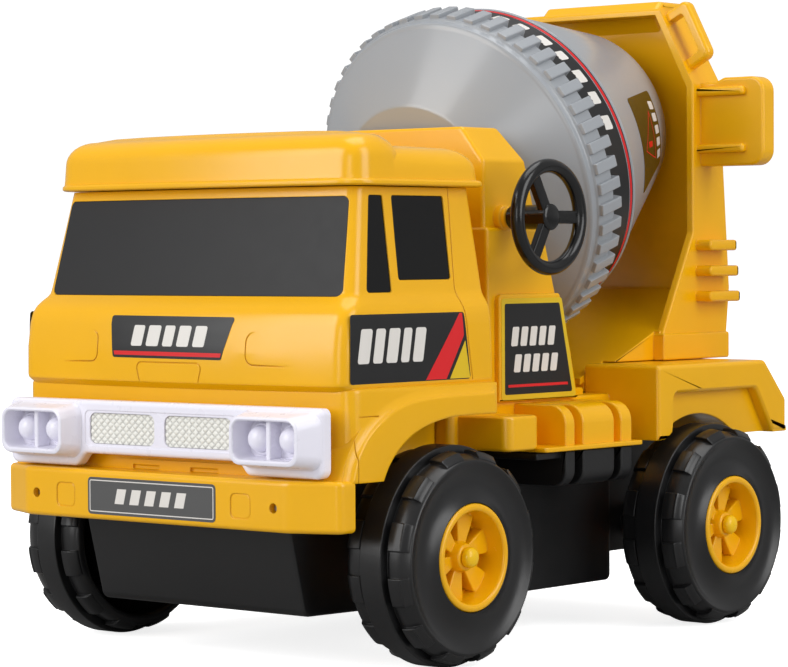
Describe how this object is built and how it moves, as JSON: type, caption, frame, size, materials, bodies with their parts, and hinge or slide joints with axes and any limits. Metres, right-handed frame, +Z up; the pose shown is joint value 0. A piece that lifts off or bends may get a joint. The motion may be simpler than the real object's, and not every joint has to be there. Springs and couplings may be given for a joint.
{
  "type": "toy concrete mixer truck",
  "caption": "Toy concrete mixer truck: cab-over body, free-rolling wheels and a tilted mixing drum turned through a gear pair by a side handwheel.",
  "frame": {"origin": "centre of the bounding box's footprint, on the floor under the truck", "axes": "+Y towards the rear of the truck, +X towards its left side, +Z up; the wheels stand on z = 0"},
  "size_m": [0.1858, 0.2796, 0.2418],
  "materials": {
    "yellow_plastic": "glossy",
    "black_plastic": "satin",
    "tyre": "satin moulded tyre",
    "rim": "glossy",
    "cap": "glossy",
    "steel": "plain drawn wire and zinc-plated screws",
    "drum_plastic": "satin silver-grey",
    "white_plastic": "glossy",
    "pearl_plastic": "fine diamond mesh relief",
    "window_plastic": "opaque dark satin"
  },
  "bodies": {
    "truck_body": {"chassis_base": "black_plastic", "upper_deck": "yellow_plastic", "front_bumper": "yellow_plastic", "bumper_pin_left": "steel", "bumper_pin_right": "steel", "cab_shell": "yellow_plastic", "cab_roof": "yellow_plastic", "windscreen": "window_plastic", "side_window_left": "window_plastic", "side_window_right": "window_plastic", "light_bar": "white_plastic", "grille_insert_left": "pearl_plastic", "grille_insert_right": "pearl_plastic", "gear_tower": "yellow_plastic", "tower_cover": "yellow_plastic", "cover_screw_left": "steel", "cover_screw_right": "steel", "rear_stand": "yellow_plastic", "drum_rear_pin": "black_plastic", "front_axle": "steel", "rear_axle": "steel", "front_left_axle_cap": "cap", "front_right_axle_cap": "cap", "rear_left_axle_cap": "cap", "rear_right_axle_cap": "cap", "chassis_screw_front_left": "steel", "chassis_screw_front_right": "steel", "chassis_screw_rear_left": "steel", "chassis_screw_rear_right": "steel"},
    "front_left_wheel": {"front_left_rim": "rim", "front_left_tyre": "tyre"},
    "front_right_wheel": {"front_right_rim": "rim", "front_right_tyre": "tyre"},
    "rear_left_wheel": {"rear_left_rim": "rim", "rear_left_tyre": "tyre"},
    "rear_right_wheel": {"rear_right_rim": "rim", "rear_right_tyre": "tyre"},
    "drum": {"drum_front": "drum_plastic", "drum_cone": "drum_plastic", "drum_drive_gear": "black_plastic"},
    "handwheel_set": {"handwheel": "black_plastic", "crank_shaft": "steel", "shaft_clip": "black_plastic", "drive_pinion": "black_plastic"}
  },
  "joints": [
    {"name": "front_left_wheel_spin", "type": "hinge", "parent": "truck_body", "child": "front_left_wheel", "pos_m": [0.0739, -0.07665, 0.038], "axis": [1, 0, 0], "continuous": true},
    {"name": "front_right_wheel_spin", "type": "hinge", "parent": "truck_body", "child": "front_right_wheel", "pos_m": [-0.0739, -0.07665, 0.038], "axis": [1, 0, 0], "continuous": true},
    {"name": "rear_left_wheel_spin", "type": "hinge", "parent": "truck_body", "child": "rear_left_wheel", "pos_m": [0.0739, 0.08015, 0.038], "axis": [1, 0, 0], "continuous": true},
    {"name": "rear_right_wheel_spin", "type": "hinge", "parent": "truck_body", "child": "rear_right_wheel", "pos_m": [-0.0739, 0.08015, 0.038], "axis": [1, 0, 0], "continuous": true},
    {"name": "drum_spin", "type": "hinge", "parent": "truck_body", "child": "drum", "pos_m": [0, 0.02775, 0.1672], "axis": [0, 0.9537, 0.3007], "continuous": true},
    {"name": "handwheel_spin", "type": "hinge", "parent": "truck_body", "child": "handwheel_set", "pos_m": [0.077, -0.01421, 0.15397], "axis": [1, 0, 0], "continuous": true}
  ],
  "couplings": [
    {"joint": "handwheel_spin", "follows": "drum_spin", "ratio": -2.5}
  ]
}
